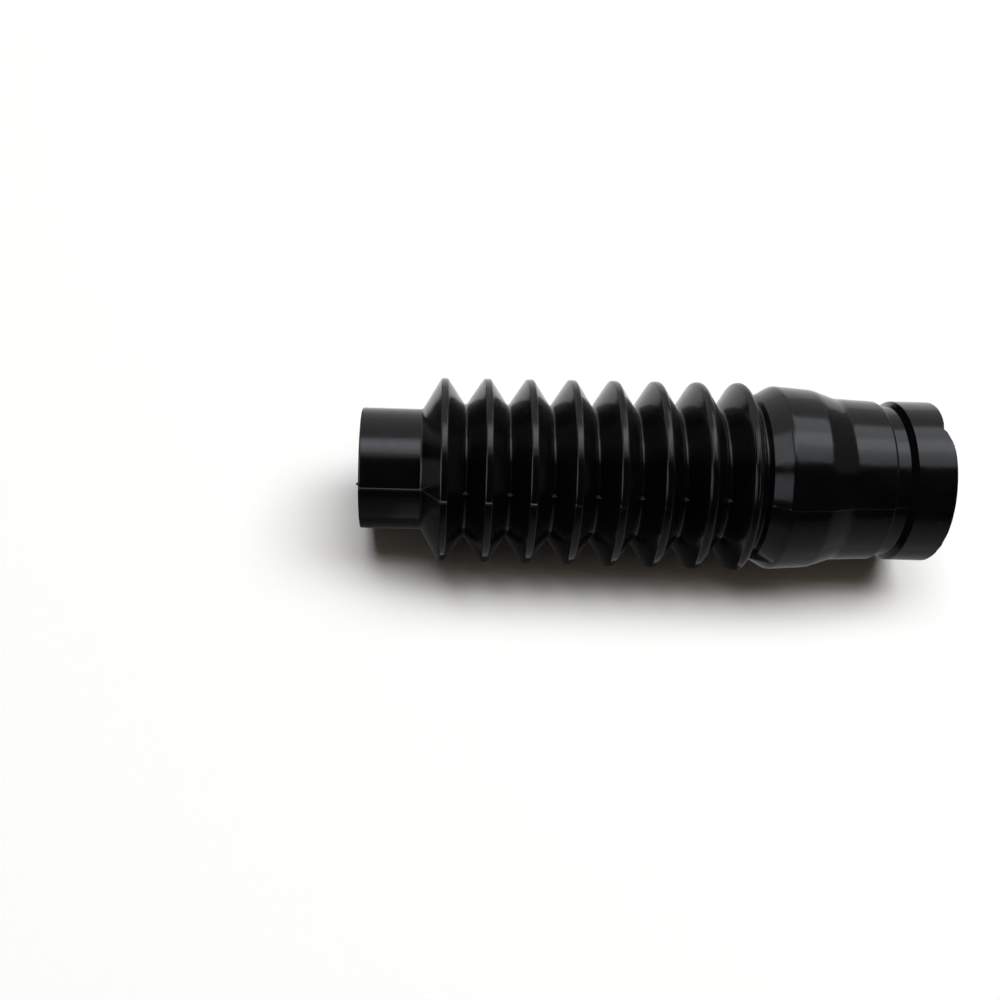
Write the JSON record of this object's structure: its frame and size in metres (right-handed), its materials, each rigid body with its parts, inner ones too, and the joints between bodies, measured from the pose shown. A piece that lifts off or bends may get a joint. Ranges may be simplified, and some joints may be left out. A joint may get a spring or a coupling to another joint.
{
  "type": "fork gaiter",
  "caption": "Black rubber bellows that covers the sliding tube of a motorbike's telescopic fork, with a slim collar at the top and a wide clamp band at the bottom.",
  "frame": {"origin": "centre of the wide end's rim, where the gaiter stands", "axes": "+Z along the fork's axis from the wide end to the slim collar; -Y is the side with the mould's parting line that faces the picture's camera"},
  "size_m": [0.0632, 0.0632, 0.19],
  "materials": {
    "black_rubber": "satin"
  },
  "bodies": {
    "root": {"gaiter": "black_rubber"}
  },
  "joints": []
}
